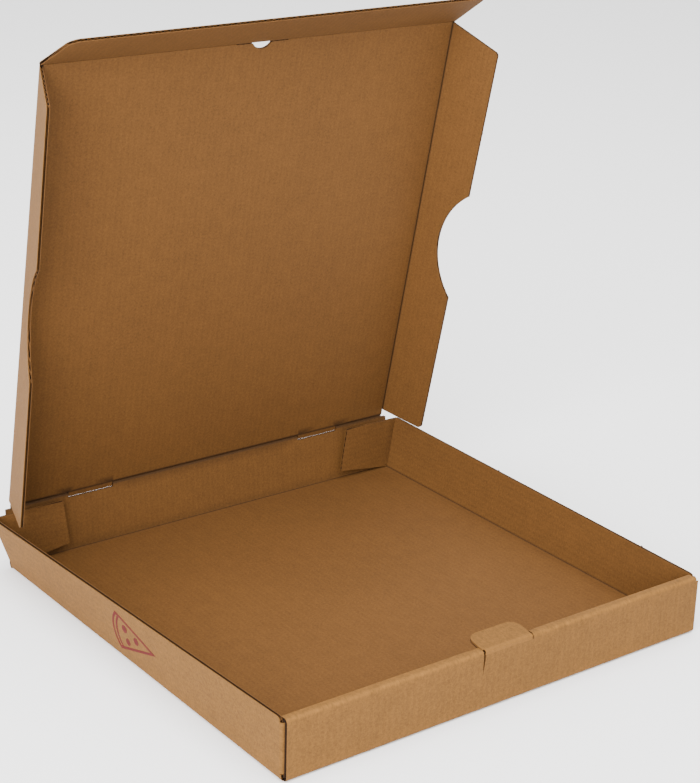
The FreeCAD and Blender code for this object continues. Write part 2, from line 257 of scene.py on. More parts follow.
def triangles(loops, cs, fs):
    """Triangles over the area inside the loops, with points on the grid lines."""
    points = []
    edges = []
    for loop in loops:
        ring = with_crossings(loop, cs, fs)
        n = len(points)
        points += ring
        edges += [(n + i, n + (i + 1) % len(ring)) for i in range(len(ring))]
    for c in cs:
        for f in fs:
            if inside(loops, c, f) and edge_distance(loops, c, f) > EDGE_GAP:
                points.append((c, f))
    found = delaunay_2d_cdt([Vector(p) for p in points], edges, [], 1, 1e-5)
    flat = [(v.x, v.y) for v in found[0]]
    keep = []
    for face in found[2]:
        c = sum(flat[i][0] for i in face) / 3
        f = sum(flat[i][1] for i in face) / 3
        if inside(loops, c, f):
            keep.append(tuple(face))
    return flat, keep


def grid(lo, hi, step, near=()):
    """Grid lines at about a step, closer beside the creases."""
    out = set(round(v, 4) for v in steps(lo, hi, max(1, round((hi - lo) / step))))
    for c in near:
        for d in BESIDE:
            if lo < c + d < hi:
                out.add(round(c + d, 4))
    kept = []
    for v in sorted(out):
        if not kept or v - kept[-1] > LINE_GAP:
            kept.append(v)
    return kept


def lines(*runs):
    """Grid lines that divide each run, given by its two ends, into six."""
    return sorted(set(round(v, 4) for lo, hi in runs for v in steps(lo, hi, 6)))


class Sheet:
    """Collects the vertices and faces of one piece."""

    def __init__(self):
        self.points = []
        self.faces = []
        self.kinds = []
        self.flat = []
        self.shading_and_rub = []

    def point(self, place, c, f, h, shading_and_rub=0.0):
        self.points.append(place(c, f, h) * MM)
        self.flat.append((c, f, h))
        self.shading_and_rub.append(shading_and_rub)
        return len(self.points) - 1

    def face(self, kind, *ids):
        self.faces.append(ids)
        self.kinds.append(kind)

    def slab(self, place, flat, tris, h0, h1, kind0, kind1, shading_and_rub, rim=None):
        """A liner between the depths h0 and h1, closed round its edges in its skin's paper. The
        edges of holes, away from the rim, are painted dark, as the shade inside a cut."""
        skin = kind0 if kind1 == SHADE_PAPER else kind1
        low = [self.point(place, c, f, h0, shading_and_rub(c, f)) for c, f in flat]
        high = [self.point(place, c, f, h1, shading_and_rub(c, f)) for c, f in flat]
        sides = {}
        for t in tris:
            self.face(kind0, *(low[i] for i in reversed(t)))
            self.face(kind1, *(high[i] for i in t))
            for a, b in zip(t, t[1:] + t[:1]):
                if (b, a) in sides:
                    del sides[(b, a)]
                else:
                    sides[(a, b)] = True
        for a, b in sides:
            middle = [(p + q) / 2 for p, q in zip(flat[a], flat[b])]
            edge = skin if rim is None or edge_distance([rim], *middle) < ON_RIM else SHADE_PAPER
            self.face(edge, low[a], low[b], high[b], high[a])

    def core(self, place, loops, lo, hi, parts, back):
        """The waved paper, as one strip per step across the flutes."""
        c0 = min(p[0] for p in loops[0])
        c1 = max(p[0] for p in loops[0])
        step = PITCH / WAVE_STEPS
        amp = BOARD / 2 - LINER - PAPER / 2 - HAIR
        last = []
        k = math.ceil((c0 + back) / step)
        while k * step < c1 - back:
            c = k * step + NUDGE
            mid = BOARD / 2 + amp * math.sin(2 * math.pi * c / PITCH)
            rows = []
            for a, b in spans(loops, c, lo, hi):
                ids = []
                for f in steps(a, b, parts):
                    under = self.point(place, c, f, mid - PAPER / 2)
                    ids.append((under, self.point(place, c, f, mid + PAPER / 2)))
                rows.append((a, b, ids))
            for a, b, ids in rows:
                for a1, b1, old in last:
                    if min(b, b1) - max(a, a1) > 0.5 * max(b - a, b1 - a1):
                        for i in range(parts):
                            self.face(CORE, old[i][0], old[i + 1][0], ids[i + 1][0], ids[i][0])
                            self.face(CORE, old[i][1], ids[i][1], ids[i + 1][1], old[i + 1][1])
                        for e in (0, parts):
                            self.face(CORE, old[e][0], ids[e][0], ids[e][1], old[e][1])
            last = rows
            k += 1

    def build(self, name, body=None):
        mesh = bpy.data.meshes.new(name)
        mesh.from_pydata([tuple(p) for p in self.points], [], self.faces)
        mesh.polygons.foreach_set("material_index", self.kinds)
        flat = mesh.attributes.new("flat", "FLOAT_VECTOR", "POINT")
        flat.data.foreach_set("vector", [x for p in self.flat for x in p])
        shading_and_rub = mesh.attributes.new("shading_and_rub", "FLOAT", "POINT")
        shading_and_rub.data.foreach_set("value", self.shading_and_rub)
        for m in PAPERS:
            mesh.materials.append(m)
        work = bmesh.new()
        work.from_mesh(mesh)
        loose = [v for v in work.verts if not v.link_faces]
        bmesh.ops.delete(work, geom=loose, context="VERTS")
        bmesh.ops.recalc_face_normals(work, faces=work.faces)
        work.to_mesh(mesh)
        work.free()
        mesh.polygons.foreach_set("use_smooth", [True] * len(mesh.polygons))
        mesh.set_sharp_from_angle(angle=math.radians(SHARP))
        obj = bpy.data.objects.new(name, mesh)
        bpy.context.scene.collection.objects.link(obj)
        if body:
            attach(obj, body)
        return obj


def spans(loops, c, lo, hi):
    """Stretches of the line across at c that lie inside the loops, kept behind the cut edges."""
    hits = []
    for loop in loops:
        for (c0, f0), (c1, f1) in zip(loop, loop[1:] + loop[:1]):
            if (c0 > c) != (c1 > c):
                hits.append(f0 + (f1 - f0) * (c - c0) / (c1 - c0))
    hits.sort()
    out = []
    for a, b in zip(hits[::2], hits[1::2]):
        a = max(a + RECESS, lo)
        b = min(b - RECESS, hi)
        if b - a > SHORTEST:
            out.append((a, b))
    return out


def board(sheet, place, loops, cs, fs, creases=(), cores=(), parts=1, rim=None, back=RECESS):
    """Both liners and the core of one panel. A crease is (0, c, width) or (1, f, width). Its valley
    inside is painted darker, as shade, and outside it is painted paler, partly rubbing and partly a
    highlight."""
    def shading_and_rub(c, f):
        best = 0.0
        for axis, at, width in creases:
            d = ((c, f)[axis] - at) / width
            best = max(best, math.exp(-d * d))
        return best
    flat, tris = triangles(loops, cs, fs)
    rim = rim or loops[0]
    sheet.slab(place, flat, tris, 0, LINER, INSIDE, SHADE_PAPER, shading_and_rub, rim)
    sheet.slab(place, flat, tris, BOARD - LINER, BOARD, SHADE_PAPER, OUTSIDE, lambda c, f: PALE * shading_and_rub(c, f), rim)
    for lo, hi in cores:
        sheet.core(place, loops, lo, hi, parts, back)


# Materials. Each noise has its frequencies along c, f and h, its detail and its roughness.

FIBRES_F = (2.2, 0.8, 1.0), 4.0, 0.6
FIBRES_C = (0.8, 2.2, 1.0), 4.0, 0.6
SPECKS = (0.95, 0.85, 0.3), 2.0, 0.7
MOTTLES = (0.16, 0.13, 0.1), 4.0, 0.55
CLOUDS = (0.02, 0.016, 0.1), 2.0, 0.5
FINE_SHARE = 0.8        # of fibres and specks together in a paper's tone
MOTTLE_SHARE = 0.12
CLOUD_SHARE = 0.08
RIB_SHARE = 0.012       # of the washboard lines
DARK_AT, MID_AT, LIGHT_AT = 0.40, 0.52, 0.64
FIBRE_BUMP = 0.035
RIB_BUMP = 0.02
BUMP_STRENGTH = 0.55
SPECULAR = 0.18
CREASE_SHADE = -0.75    # how much a full crease darkens the colour, as painted shade; a negative crease value paints it paler


def paper(name, dark, mid, light, rough, grain=0.35):
    """Kraft paper: fibres, mottling, faint washboard lines over the flutes, painted shade along
    creases and a paler outside fold, partly rubbed and partly a painted highlight. The grain is the specks'
    share of the tone."""
    mat = bpy.data.materials.new(name)
    mat.use_nodes = True
    tree = mat.node_tree
    tree.nodes.clear()

    def node(kind, **values):
        n = tree.nodes.new(kind)
        for key, value in values.items():
            if key in n.inputs:
                n.inputs[key].default_value = value
            else:
                setattr(n, key, value)
        return n

    def link(a, b):
        tree.links.new(a, b)

    def math_node(op, *values):
        n = node("ShaderNodeMath", operation=op)
        for socket, v in zip(n.inputs, values):
            if isinstance(v, (int, float)):
                socket.default_value = v
            else:
                link(v, socket)
        return n.outputs[0]

    def plus(a, b):
        return math_node("ADD", a, b)

    def times(a, b):
        return math_node("MULTIPLY", a, b)

    flat = node("ShaderNodeAttribute", attribute_name="flat").outputs["Vector"]
    shading_and_rub = node("ShaderNodeAttribute", attribute_name="shading_and_rub").outputs["Fac"]

    def noise(frequencies, detail, roughness):
        spread = node("ShaderNodeMapping", Scale=frequencies)
        link(flat, spread.inputs["Vector"])
        n = node("ShaderNodeTexNoise", Scale=1.0, Detail=detail, Roughness=roughness)
        link(spread.outputs["Vector"], n.inputs["Vector"])
        return n.outputs["Fac"]

    parted = node("ShaderNodeSeparateXYZ")
    link(flat, parted.inputs[0])
    ribs = math_node("SINE", times(parted.outputs["X"], 2 * math.pi / PITCH))
    fibres = plus(noise(*FIBRES_F), noise(*FIBRES_C))
    tone = times(times(fibres, 0.5), FINE_SHARE - grain)
    tone = plus(tone, times(noise(*SPECKS), grain))
    tone = plus(tone, times(noise(*MOTTLES), MOTTLE_SHARE))
    tone = plus(tone, times(noise(*CLOUDS), CLOUD_SHARE))
    tone = plus(tone, times(ribs, RIB_SHARE))
    ramp = node("ShaderNodeValToRGB")
    ramp.color_ramp.elements[0].position = DARK_AT
    ramp.color_ramp.elements[0].color = (*dark, 1)
    ramp.color_ramp.elements[1].position = LIGHT_AT
    ramp.color_ramp.elements[1].color = (*light, 1)
    middle = ramp.color_ramp.elements.new(MID_AT)
    middle.color = (*mid, 1)
    link(tone, ramp.inputs["Fac"])
    bump = node("ShaderNodeBump", Strength=BUMP_STRENGTH, Distance=MM)
    link(plus(times(fibres, FIBRE_BUMP), times(ribs, RIB_BUMP)), bump.inputs["Height"])
    shader = node("ShaderNodeBsdfPrincipled", Roughness=rough)
    shader.inputs["Specular IOR Level"].default_value = SPECULAR
    # painted shade in creases darkens the colour; a negative value paints outside folds paler, partly rubbing
    # and partly a highlight
    shade = math_node("MULTIPLY_ADD", shading_and_rub, CREASE_SHADE, 1.0)
    shaded_colour = node("ShaderNodeVectorMath", operation="SCALE")
    link(ramp.outputs["Color"], shaded_colour.inputs[0])
    link(shade, shaded_colour.inputs["Scale"])
    link(shaded_colour.outputs["Vector"], shader.inputs["Base Color"])
    link(bump.outputs["Normal"], shader.inputs["Normal"])
    out = node("ShaderNodeOutputMaterial")
    link(shader.outputs["BSDF"], out.inputs["Surface"])
    return mat


def shades(r, g, b, low=0.72, high=1.26):
    """Dark, middle and light of one sRGB colour, linear."""
    line = [((v / 255 + 0.055) / 1.055) ** 2.4 for v in (r, g, b)]
    return [tuple(v * k for v in line) for k in (low, 1.0, high)]


PAPERS = [
    paper("kraft_outside", *shades(102, 69, 29), rough=0.78, grain=0.27),
    paper("kraft_inside", *shades(88, 57, 23), rough=0.82),
    # a dark kraft that paints shade on the board's hidden faces and in cuts
    paper("kraft_painted_shade", *shades(42, 25, 11), rough=0.9),
    paper("red_ink", *shades(78, 4, 3), rough=0.7),
    paper("kraft_core", *shades(84, 54, 24), rough=0.9),
]


# Tray: floor and side walls. c runs across the floor and up the walls, f along +Y.

BACK_SLOPE = math.tan(math.radians(REAR_LEAN))
REAR_FOOT = REAR_Y - BACK_SLOPE * WALL_TOP


def side_angle(side, y):
    """Degrees that a side wall leans out, growing from its front end to its rear."""
    lean = LEFT_LEAN if side < 0 else RIGHT_LEAN
    return math.degrees(math.atan(lean * (y + BEND_D) / (REAR_Y + BEND_D) / (WALL_TOP - BEND_OUT)))


def channel_place(c, f, h):
    side = -1 if c < 0 else 1
    u = abs(c)
    if u <= BEND_C:
        return Vector((c, f, BOARD - h))
    lam = side_angle(side, f)
    if u <= BEND_C + BEND_RUN:
        a = -90 + (90 - lam) * (u - BEND_C) / BEND_RUN
        up = 0.0
    else:
        a = -lam
        up = (u - BEND_C - BEND_RUN) / cos(lam)
    x = BEND_C + (BEND_IN + h) * cos(a) + up * sin(lam)
    z = BEND_OUT + (BEND_IN + h) * sin(a) + up * cos(lam)
    return Vector((side * x, f, z))


def wall_c(side, z):
    """c of a height on a side wall, measured at mid-thickness."""
    return side * (BEND_C + BEND_RUN + z - BEND_OUT + LEAN_RISE)


def rear_end(z):
    """y of a side wall's rear end at a height."""
    return REAR_FOOT + BACK_SLOPE * z


FOOT_RISE = 1.2
FOOT = BEND_OUT + FOOT_RISE   # height where the corner flaps' folds begin
NICKS = {1: (-83.8, 29.4), -1: ()}            # y of the torn holding points along the wall tops
TUFT = ((-0.7, 0), (-0.4, 0.45), (-0.05, 0.2), (0.15, 0.7), (0.5, 0))     # one of them: along, out
WORN_CORNER = ((-1.3, 0), (-0.35, 0.5), (0, 2))         # front end of a wall's top: up, back
UP_WALL = (1, 3, 8, 15, 22)   # grid lines on a wall, from the end of its fold
INTO_FLOOR = (1, 2.5, 5)      # and on the floor


def wall_outline(side):
    """Cut edge of a side wall from the front of the floor's fold to the rear, in c and f."""
    out = [(wall_c(side, FOOT), -BEND_D), (wall_c(side, FOOT), FRONT_END)]
    out += [(wall_c(side, WALL_TOP + up), FRONT_END + back) for up, back in WORN_CORNER]
    for y in NICKS[side]:
        out += [(wall_c(side, WALL_TOP + h), y + d) for d, h in TUFT]
    return out + [(wall_c(side, WALL_TOP), rear_end(WALL_TOP)), (wall_c(side, FOOT), rear_end(FOOT)),
                  (wall_c(side, FOOT), BEND_D)]


channel_loop = wall_outline(1) + wall_outline(-1)[::-1]
bend_lines = steps(BEND_C, BEND_C + BEND_RUN, 7) + [wall_c(1, FOOT)]
bend_lines += [BEND_C + BEND_RUN + v for v in UP_WALL] + [BEND_C - v for v in INTO_FLOOR]
flat_half = BEND_C - max(INTO_FLOOR) - 1
channel_cs = set(grid(-flat_half, flat_half, 14))
channel_cs.update(round(side * v, 4) for side in (-1, 1) for v in bend_lines)
channel_fs = sorted(grid(-BEND_D, REAR_Y, 12) + [FRONT_END, rear_end(FOOT), BEND_D])
tray = Sheet()
board(tray, channel_place, [channel_loop], sorted(channel_cs), channel_fs,
      creases=[(0, side * (BEND_C + BEND_RUN / 2), FOOT_MARK) for side in (1, -1)],
      cores=[(-BEND_D + 1, REAR_Y)], parts=3)


# Front wall: outer panel, flat top and inner panel. c is x, f runs up the outer panel and down the
# inner one.

F_UP = BEND_RUN                              # start of the outer panel
F_TOP = F_UP + WALL_TOP - 2 * BEND_OUT       # end of the outer panel
F_FLAT = F_TOP + BEND_RUN                    # start of the flat top
TOP_FLAT = STRIP_IN + OUTER_D - 2 * BEND_OUT
F_OVER = F_FLAT + TOP_FLAT                   # end of the flat top
F_DOWN = F_OVER + BEND_RUN                   # start of the inner panel
F_END = F_DOWN + WALL_TOP - BEND_OUT - BOARD - FOLD_GAP


def front_place(c, f, h):
    r = BEND_IN + h
    y_out = -OUTER_D + BEND_OUT
    y_in = STRIP_IN - BEND_OUT
    if f <= F_UP:
        a = 270 - 90 * max(f, 0) / BEND_RUN
        y, z = -BEND_D + r * cos(a), BEND_OUT + r * sin(a)
    elif f <= F_TOP:
        y, z = -BEND_D - r, BEND_OUT + f - F_UP
    elif f <= F_FLAT:
        a = 180 - 90 * (f - F_TOP) / BEND_RUN
        y, z = y_out + r * cos(a), WALL_TOP - BEND_OUT + r * sin(a)
    elif f <= F_OVER:
        y, z = y_out + f - F_FLAT, WALL_TOP - BEND_OUT + r
    elif f <= F_DOWN:
        a = 90 - 90 * (f - F_OVER) / BEND_RUN
        y, z = y_in + r * cos(a), WALL_TOP - BEND_OUT + r * sin(a)
    else:
        y, z = y_in + r, WALL_TOP - BEND_OUT - (f - F_DOWN)
    return Vector((c, y, z))


def up_f(z):
    """f of a height on the outer panel."""
    return F_UP + z - BEND_OUT


def down_f(z):
    """f of a height on the inner panel."""
    return F_DOWN + WALL_TOP - BEND_OUT - z


CUT_HALF = TAB_HALF + TAB_GAP
CUT_LEFT = TAB_MID - TAB_HALF - TAB_SEAM
CUT_FOOT = TAB_Z - BOARD / 2 - TAB_PLAY      # outer panel's edge under the tab
CUT_LOW = WALL_TOP - (TAB_LEN - (STRIP_IN - TAB_Y) + BOARD / 2)          # foot of the cut in the inner panel
CUT_RIGHT = TAB_MID + CUT_HALF
CUT_INNER = TAB_MID - CUT_HALF               # left end of the cut in the inner panel
SLIT_RIGHT = CUT_LEFT + SLIT_WIDE
window = [(CUT_LEFT, up_f(CUT_FOOT)), (CUT_LEFT, up_f(CUT_FOOT - SLIT_NECK)),
          (CUT_LEFT - SLIT_SLANT, up_f(WALL_TOP - SLIT_DEEP)), (SLIT_RIGHT, up_f(CUT_FOOT - SLIT_FLARE)),
          (SLIT_RIGHT, up_f(CUT_FOOT)), (CUT_RIGHT, up_f(CUT_FOOT)), (CUT_RIGHT + CUT_WIDER, F_FLAT),
          (CUT_RIGHT + CUT_WIDER, F_OVER), (CUT_RIGHT, F_DOWN)]
window += arc((CUT_RIGHT - TAB_TIP, down_f(CUT_LOW + TAB_TIP)), TAB_TIP, 0, 90)
window += arc((CUT_INNER + TAB_TIP, down_f(CUT_LOW + TAB_TIP)), TAB_TIP, 90, 180)
window += [(CUT_INNER, F_DOWN), (CUT_LEFT, F_OVER)]
front_loop = [(OUTER, 0), (OUTER, F_TOP), (RIGHT_STEP, F_TOP), (RIGHT_STEP, F_FLAT), (STRIP_END, F_FLAT),
              (STRIP_END, F_END)]
front_loop += [(FRONT_LEFT, f) for f in (F_END, F_FLAT, F_TOP, 0)]
front_cs = sorted(grid(-OUTER, OUTER, 10) + [STRIP_END, RIGHT_STEP, CUT_LEFT])
front_fs = lines((0, F_UP), (F_UP, F_TOP), (F_TOP, F_FLAT), (F_OVER, F_DOWN), (F_DOWN, F_END))
board(tray, front_place, [front_loop, window], front_cs, front_fs,
      creases=[(1, F_UP / 2, FOOT_MARK), (1, F_TOP + BEND_RUN / 2, STRIP_MARK),
               (1, F_OVER + BEND_RUN / 2, EDGE_MARK)],
      cores=[(F_UP + CORE_PAST_BEND, F_TOP - CORE_CLEAR), (F_DOWN + CORE_CLEAR, F_END)],
      rim=[(FRONT_LEFT, F_END), (STRIP_END, F_END)], back=FRONT_RECESS)


# Rear wall. c is x, f runs up the wall.

RISE = (PIVOT.z - BEND_OUT + (BEND_IN + BOARD / 2) * sin(REAR_LEAN)) / cos(REAR_LEAN)
F_ROOT = BEND_RUN + RISE                     # the hinge line


def rear_place(c, f, h):
    r = BEND_IN + h
    if f <= BEND_RUN:
        a = 270 + (90 - REAR_LEAN) * max(f, 0) / BEND_RUN
        up = 0.0
    else:
        a = -REAR_LEAN
        up = f - BEND_RUN
    return Vector((c, BEND_D + r * cos(a) + up * sin(REAR_LEAN), BEND_OUT + r * sin(a) + up * cos(REAR_LEAN)))


REAR_TOP = F_ROOT - ROOT_LOW
NOTCH_FOOT = F_ROOT - TONGUE_DEEP - NOTCH_PLAY
rear_half = OUTER - REAR_IN
rear_right = [(rear_half, 0), (rear_half, REAR_TOP), (TONGUE_OUT, REAR_TOP), (TONGUE_OUT, NOTCH_FOOT),
              (TONGUE_IN, NOTCH_FOOT), (TONGUE_IN, REAR_TOP)]
rear_left = [(-c, f) for c, f in reversed(rear_right)]
rear_loop = rear_left[-1:] + rear_right + rear_left[:-1]
rear_fs = lines((0, BEND_RUN), (BEND_RUN, REAR_TOP))
board(tray, rear_place, [rear_loop], grid(-rear_half, rear_half, 10), rear_fs,
      creases=[(1, BEND_RUN / 2, FOOT_MARK), (1, F_ROOT, HINGE_MARK)],
      cores=[(BEND_RUN + CORE_PAST_BEND, REAR_TOP)])
tray_piece = tray.build("tray_board", "tray")
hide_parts("tray")


# Printed mark on the left wall: a plain slice of pizza. Its outlines are in millimetres, along the
# wall towards the front and up, from the mark's middle.

MARK_Y = -5.6
MARK_Z = 15.6
MARK_LONG = 20          # its grid reaches this far along the wall, to both sides
MARK_HIGH = 12          # and this far up and down
INK_LOW = BOARD + 0.03
INK_HIGH = BOARD + 0.08


def ring(x, y, r):
    return arc((x, y), r, 0, 345, 23)


slice_out = [(18.5, 0.0)] + three_point_arc((-14.0, 10.2), (-18.5, 0.0), (-14.0, -10.2), 20)
slice_in = [(14.2, 0.0)] + three_point_arc((-11.2, 7.9), (-14.2, 0.0), (-11.2, -7.9), 20)
crust = three_point_arc((-13.8, 8.4), (-17.2, 0.0), (-13.8, -8.4), 16)
crust += three_point_arc((-12.6, -8.1), (-15.6, 0.0), (-12.6, 8.1), 16)
toppings = [ring(-7.6, 3.0, 2.1)], [ring(-6.0, -3.4, 1.9)], [ring(1.8, 0.3, 2.0)]
mark_cs = steps(wall_c(-1, MARK_Z + MARK_HIGH), wall_c(-1, MARK_Z - MARK_HIGH), 12)
mark_fs = steps(MARK_Y - MARK_LONG, MARK_Y + MARK_LONG, 16)
mark = Sheet()
for loops in ([slice_out, slice_in, crust], *toppings):
    wall_loops = [[(wall_c(-1, MARK_Z + up), MARK_Y - along) for along, up in loop] for loop in loops]
    flat, tris = triangles(wall_loops, mark_cs, mark_fs)
    mark.slab(channel_place, flat, tris, INK_LOW, INK_HIGH, INK, INK, lambda c, f: 0.0)
mark.build("mark_left", "tray")


# Corner flaps. c is the height, f runs from the wall's end along the flap.


def inner_side(side, y, z):
    """Distance of a side wall's inner face from the middle."""
    lam = side_angle(side, y)
    return BEND_C + BEND_IN * cos(lam) + (z - BEND_OUT + BEND_IN * sin(lam)) * math.tan(math.radians(lam))


def rear_ear_place(side):
    def place(c, f, h):
        y = rear_end(c)
        x = inner_side(side, y, c)
        if f < 0:
            a = (90 - SWING) * (1 + f / BEND_RUN)
            r = max(h, LEAST_R)
            return Vector((side * (x + r * cos(a)), y + r * sin(a), c))
        return Vector((side * (x - f * cos(SWING) + h * sin(SWING)), y - f * sin(SWING) + h * cos(SWING), c))
    return place


# A rear corner flap's free edge as x and height, from its foot at the wall to its top there, and
# how its neck joins the wall
REAR_EARS = {"right": (1, [(119, 1.9), (84.8, 7.6), (90.2, 30.9), (117.8, 29.6)]),
             "left": (-1, [(119, 1.9), (89.5, 7.6), (91.5, 30.9), (117.8, 29.6)])}
NECK_DROP = 0.5         # how far the fold ends below the flap's top
NECK_TOP = 0.3          # where the neck meets the flap, past the fold
EAR_GRID = 37           # the grid lines along a rear flap are spread over this length


def rear_ear(side, outline):
    loop = [(z, (inner_side(side, rear_end(z), z) - x) / cos(SWING)) for x, z in outline]
    top = loop[-1][0] - NECK_DROP
    foot = FOOT + EAR_GAP
    loop += [(top, NECK_TOP), (top, -BEND_RUN), (foot, -BEND_RUN), (foot, EAR_GAP)]
    ear = Sheet()
    board(ear, rear_ear_place(side), [loop], grid(BEND_OUT, WALL_TOP + 1, 7),
          steps(-BEND_RUN, 0, 5) + steps(0, EAR_GRID, 6)[1:], creases=[(1, -BEND_RUN / 2, FOOT_MARK)],
          cores=[(CORE_PAST_FOLD, EAR_REACH)])
    return ear


for name, shape in REAR_EARS.items():
    rear_ear(*shape).build("ear_rear_" + name, "tray")


def front_ear(side):
    def place(c, f, h):
        if f < 0:
            a = 90 * (1 + f / BEND_RUN)
            r = max(h, LEAST_R)
            return Vector((side * (HALF + r * cos(a)), FRONT_END - r * sin(a), c))
        return Vector((side * (HALF - f), FRONT_END - h, c))
    foot = FOOT + EAR_GAP
    top = LOW_TOP - EAR_GAP
    loop = [(foot, -BEND_RUN), (top, -BEND_RUN), (top, EAR_LEN), (foot, EAR_LEN)]
    ear = Sheet()
    board(ear, place, [loop], steps(foot, top, 4), steps(-BEND_RUN, 0, 5) + steps(0, EAR_LEN, 5)[1:],
          cores=[(CORE_PAST_FOLD, EAR_LEN)])
    return ear


front_ear(1).build("ear_front_right", "tray")
front_ear(-1).build("ear_front_left", "tray")


# Lid. c is x, f the distance from the hinge line.

SIN_L = sin(LID_LEAN)
COS_L = cos(LID_LEAN)


def lid_point(x, s, n):
    """The point s up the lid from the hinge line and n in front of its middle plane."""
    return Vector((x, PIVOT.y - s * SIN_L - n * COS_L, PIVOT.z + s * COS_L - n * SIN_L))


def lid_place(c, f, h):
    return lid_point(c, f, BOARD / 2 - h)


moon = three_point_arc((-MOON_HALF, LID_LEN - SLOT_WIDE), (0, LID_LEN - MOON_DEEP),
                       (MOON_HALF, LID_LEN - SLOT_WIDE))
t_in = TONGUE_IN + TONGUE_PLAY
t_out = TONGUE_OUT - TONGUE_PLAY
lid_end = LID_HALF - SPLIT
lid_top = LID_LEN - SPLIT
lid_loop = [(-lid_end, ROOT_HIGH), (-t_out, ROOT_HIGH), (-t_out, -TONGUE_DEEP), (-t_in, -TONGUE_DEEP),
            (-t_in, ROOT_HIGH), (t_in, ROOT_HIGH), (t_in, -TONGUE_DEEP), (t_out, -TONGUE_DEEP),
            (t_out, ROOT_HIGH), (lid_end, ROOT_HIGH), (lid_end, lid_top), (SLOT_HALF, lid_top),
            (SLOT_HALF, LID_LEN - SLOT_WIDE)]
lid_loop += moon[::-1]
lid_loop += [(-SLOT_HALF, LID_LEN - SLOT_WIDE), (-SLOT_HALF, lid_top), (-lid_end, lid_top)]
lid = Sheet()
board(lid, lid_place, [lid_loop], grid(-LID_HALF, LID_HALF, 12, (-LID_HALF, LID_HALF)),
      grid(0, LID_LEN, 12, (ROOT_HIGH, LID_LEN)),
      creases=[(0, -LID_HALF, EDGE_MARK), (0, LID_HALF, EDGE_MARK), (1, ROOT_HIGH, EDGE_MARK)],
      cores=[(-TONGUE_DEEP, LID_LEN - CORE_CLEAR)])
lid_piece = lid.build("lid_board", "lid")
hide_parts("lid_panel")


# Side flaps. c runs across the flap from its fold, f is the distance from the hinge line.


def fold_at(side, s):
    """Degrees that a side flap is folded, s from the hinge line."""
    name = "right" if side > 0 else "left"
    return FOLD_REAR[name] + (FOLD_FRONT[name] - FOLD_REAR[name]) * s / LID_LEN


def flap_place(side):
    def place(c, f, h):
        a = fold_at(side, f)
        return lid_point(side * (LID_HALF + c * cos(a) + h * sin(a)), f, BOARD / 2 + c * sin(a) - h * cos(a))
    return place


REAR_CUT = PIVOT.y - REAR_Y + REAR_SHORT
FRONT_CUT = 0.237       # slope of the front end
FLAP_NICK = 187.7       # a torn holding point on the right flap
FLAP_TUFT = 0.4         # its height, as a share of one on a wall
REAR_ROUND = 2.0        # roundings of the free corners
FRONT_ROUND = 1.5


def side_flap(side):
    w = SIDE_FLAP
    end = LID_LEN - FLAP_SHORT
    rear = REAR_CUT + w * BACK_SLOPE
    front = end - w * FRONT_CUT
    loop = [(SPLIT, REAR_CUT)]
    loop += three_point_arc((w - REAR_ROUND, rear - REAR_ROUND * BACK_SLOPE),
                            (w - 0.3 * REAR_ROUND, rear + REAR_ROUND / 4), (w, rear + REAR_ROUND), 5)
    loop += three_point_arc((w, NOTCH_MID - NOTCH_HALF), (w - NOTCH_DEEP, NOTCH_MID),
                            (w, NOTCH_MID + NOTCH_HALF), 30)
    if side > 0:
        loop += [(w + FLAP_TUFT * out, FLAP_NICK + along) for along, out in TUFT]
    loop += three_point_arc((w, front - FRONT_ROUND), (w - FRONT_ROUND / 3, front - FRONT_ROUND / 6),
                            (w - FRONT_ROUND, front + FRONT_ROUND * FRONT_CUT), 4)
    loop += [(SPLIT, end)]
    flap = Sheet()
    board(flap, flap_place(side), [loop], grid(0, w, 6, (0,)), grid(REAR_CUT, end, 8),
          creases=[(0, 0, EDGE_MARK)], cores=[(REAR_CUT, end)], parts=4)
    return flap


right = side_flap(1).build("flap_right_board", "right_flap")
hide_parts("lid_right_flap")
left = side_flap(-1).build("flap_left_board", "left_flap")
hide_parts("lid_left_flap")


# Front flap. c is x, f runs across the flap from its fold.


def front_fold_at(c):
    """Degrees that the front flap is folded, at a place along its fold."""
    return FRONT_FOLD - FRONT_TWIST * c / LID_HALF


def front_flap_place(c, f, h):
    a = front_fold_at(c)
    return lid_point(c, LID_LEN + f * cos(a) + h * sin(a), BOARD / 2 + f * sin(a) - h * cos(a))


FRONT_HALF = LID_HALF + FRONT_OVER
LEFT_ROUND = 6.0        # the front flap's free corners
LEFT_ROUND_IN = 8.6     # from the flap's left end to the rounding's centre
LEFT_SLANT = 2.8        # how far the left end slants in before the rounding
LEFT_SLANT_END = 5.0    # where that is, from the free edge
RIGHT_ROUND = 2.4
RIGHT_FLARE = 0.2       # how far the right end slants out
flap_loop = [(-LID_HALF, SPLIT), (-FRONT_HALF, FRONT_START),
             (-FRONT_HALF + LEFT_SLANT, FRONT_FLAP - LEFT_SLANT_END)]
flap_loop += arc((-FRONT_HALF + LEFT_ROUND_IN, FRONT_FLAP - LEFT_ROUND), LEFT_ROUND, 165, 90)
flap_loop += arc((FRONT_HALF + RIGHT_FLARE - RIGHT_ROUND, FRONT_FLAP - RIGHT_ROUND), RIGHT_ROUND, 90, 0)
flap_loop += [(FRONT_HALF, FRONT_START), (LID_HALF, SPLIT)]
front_flap = Sheet()
board(front_flap, front_flap_place, [flap_loop], grid(-FRONT_HALF, FRONT_HALF, 10),
      grid(0, FRONT_FLAP, 6, (0,)), cores=[(CORE_PAST_FOLD, FRONT_FLAP)])
front_piece = front_flap.build("flap_front_board", "front_flap")
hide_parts("lid_front_flap")


# Lock tab. c is x, f runs from its fold to its tip.


def tab_place(c, f, h):
    d = h - BOARD / 2
    y = TAB_Y + f * cos(TAB_RISE) - d * sin(TAB_RISE)
    return Vector((c, y, TAB_Z + f * sin(TAB_RISE) + d * cos(TAB_RISE)))


